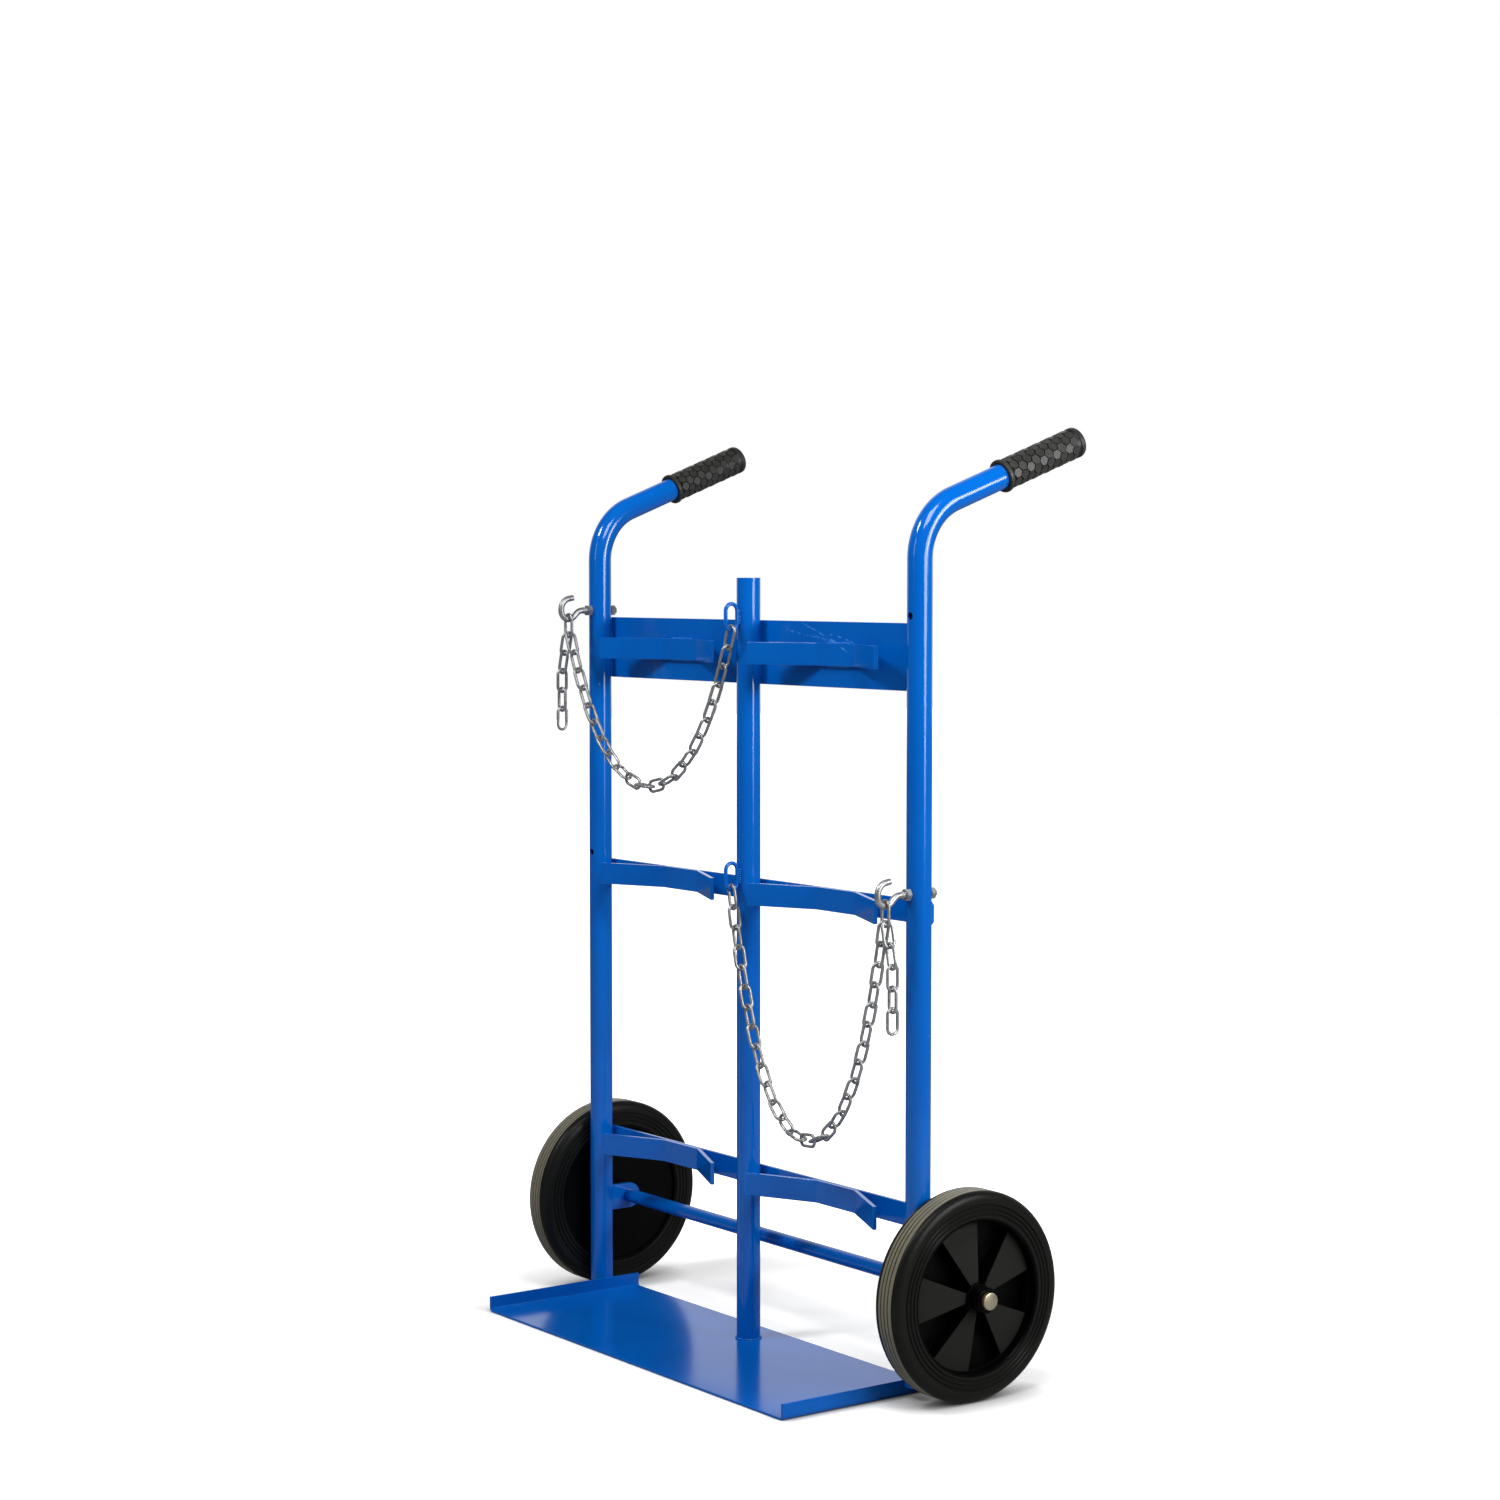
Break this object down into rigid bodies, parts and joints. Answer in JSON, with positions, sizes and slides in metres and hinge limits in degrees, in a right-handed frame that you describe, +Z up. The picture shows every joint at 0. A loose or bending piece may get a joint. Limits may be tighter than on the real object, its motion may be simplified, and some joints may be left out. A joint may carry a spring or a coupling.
{
  "type": "gas cylinder trolley",
  "caption": "Tubular two-bay trolley for standing gas cylinders, with bent handles and grips, centre post, bent saddles on cross bars, folded foot plate, wheels on an axle and safety chains.",
  "frame": {"origin": "on the floor under the foot plate, midway between the uprights, in the plane of their tubes", "axes": "+Z up, +Y back towards the handles, +X along the axle to the side with the lower chain hook"},
  "size_m": [0.8386, 0.4279, 1.1447],
  "materials": {
    "blue_paint": "gloss",
    "zinc": "bright zinc plate",
    "grip_rubber": "matte with raised cells",
    "tyre_rubber": "matte",
    "rim_plastic": "satin"
  },
  "bodies": {
    "frame": {"left_upright": "blue_paint", "right_upright": "blue_paint", "centre_post": "blue_paint", "upper_cross_plate": "blue_paint", "middle_cross_bar": "blue_paint", "lower_cross_bar": "blue_paint", "left_upper_saddle": "blue_paint", "left_middle_saddle": "blue_paint", "left_lower_saddle": "blue_paint", "right_upper_saddle": "blue_paint", "right_middle_saddle": "blue_paint", "right_lower_saddle": "blue_paint", "foot_plate": "blue_paint", "axle": "blue_paint", "axle_lugs": "blue_paint", "chain_eyes": "blue_paint", "axle_spacers": "zinc", "axle_caps": "zinc", "hook_bolts": "zinc", "hook_nuts": "zinc", "left_grip": "grip_rubber", "right_grip": "grip_rubber"},
    "left_wheel": {"left_tyre": "tyre_rubber", "left_rim": "rim_plastic"},
    "right_wheel": {"right_tyre": "tyre_rubber", "right_rim": "rim_plastic"},
    "left_chain": {"left_chain": "zinc"},
    "right_chain": {"right_chain": "zinc"},
    "left_chain_tail": {"left_chain_tail": "zinc"},
    "right_chain_tail": {"right_chain_tail": "zinc"}
  },
  "joints": [
    {"name": "left_wheel_spin", "type": "hinge", "parent": "frame", "child": "left_wheel", "pos_m": [-0.3755, 0.043, 0.125], "axis": [1, 0, 0], "continuous": true},
    {"name": "left_chain_swing", "type": "hinge", "parent": "frame", "child": "left_chain", "pos_m": [0.00157, -0.02634, 0.90414], "axis": [-0.997, -0.0697, 0.0346], "range_deg": [-5, 45]},
    {"name": "left_tail_swing", "type": "hinge", "parent": "left_chain", "child": "left_chain_tail", "pos_m": [-0.3392, -0.05015, 0.88451], "axis": [-1, 0, 0], "range_deg": [-4, 45]},
    {"name": "right_wheel_spin", "type": "hinge", "parent": "frame", "child": "right_wheel", "pos_m": [0.3755, 0.043, 0.125], "axis": [1, 0, 0], "continuous": true},
    {"name": "right_chain_swing", "type": "hinge", "parent": "frame", "child": "right_chain", "pos_m": [-0.00102, -0.02638, 0.58029], "axis": [-0.997, 0.0697, -0.0342], "range_deg": [-5, 45]},
    {"name": "right_tail_swing", "type": "hinge", "parent": "right_chain", "child": "right_chain_tail", "pos_m": [0.3392, -0.05015, 0.56051], "axis": [-1, 0, 0], "range_deg": [-4, 45]}
  ]
}
